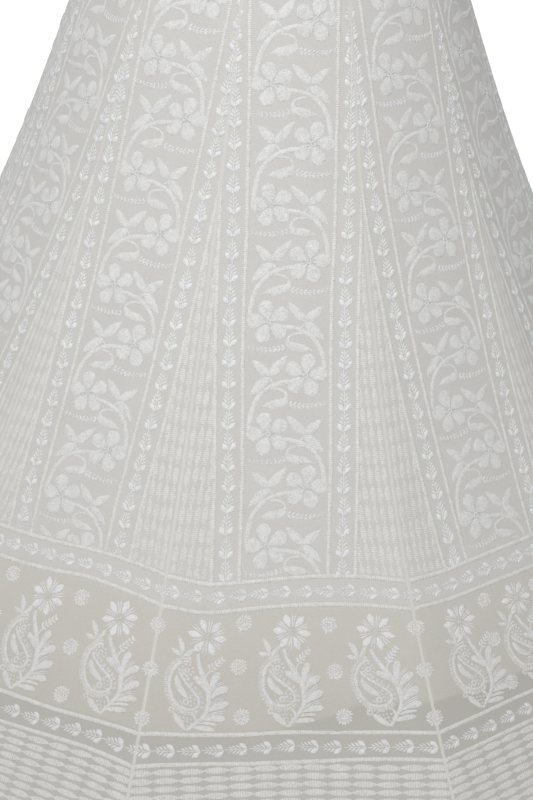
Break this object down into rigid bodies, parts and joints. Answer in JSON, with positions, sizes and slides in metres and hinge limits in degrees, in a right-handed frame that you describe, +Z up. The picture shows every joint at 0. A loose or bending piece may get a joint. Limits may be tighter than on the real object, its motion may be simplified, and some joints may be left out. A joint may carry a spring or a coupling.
{
  "type": "chikankari lehenga skirt",
  "caption": "Long flared skirt of equal embroidered gores on a plain waistband, hollow and open at the waist and the hem.",
  "frame": {"origin": "centre of the waist opening, at half the height of the waistband, where the wearer's waist holds the skirt up", "axes": "+Z up along the skirt's own axis, the middle of gore_01 faces -Y at the hem, +X to the right seen from that side"},
  "size_m": [1.2654, 1.2654, 1.0269],
  "materials": {
    "embroidered_georgette": "ivory georgette covered with flat white thread embroidery, matt with a faint sheen on the stitches",
    "plain_georgette": "plain ivory georgette, matt"
  },
  "bodies": {
    "root": {"gore_01": "embroidered_georgette", "gore_02": "embroidered_georgette", "gore_03": "embroidered_georgette", "gore_04": "embroidered_georgette", "gore_05": "embroidered_georgette", "gore_06": "embroidered_georgette", "gore_07": "embroidered_georgette", "gore_08": "embroidered_georgette", "gore_09": "embroidered_georgette", "gore_10": "embroidered_georgette", "gore_11": "embroidered_georgette", "gore_12": "embroidered_georgette", "waistband": "plain_georgette"}
  },
  "joints": []
}
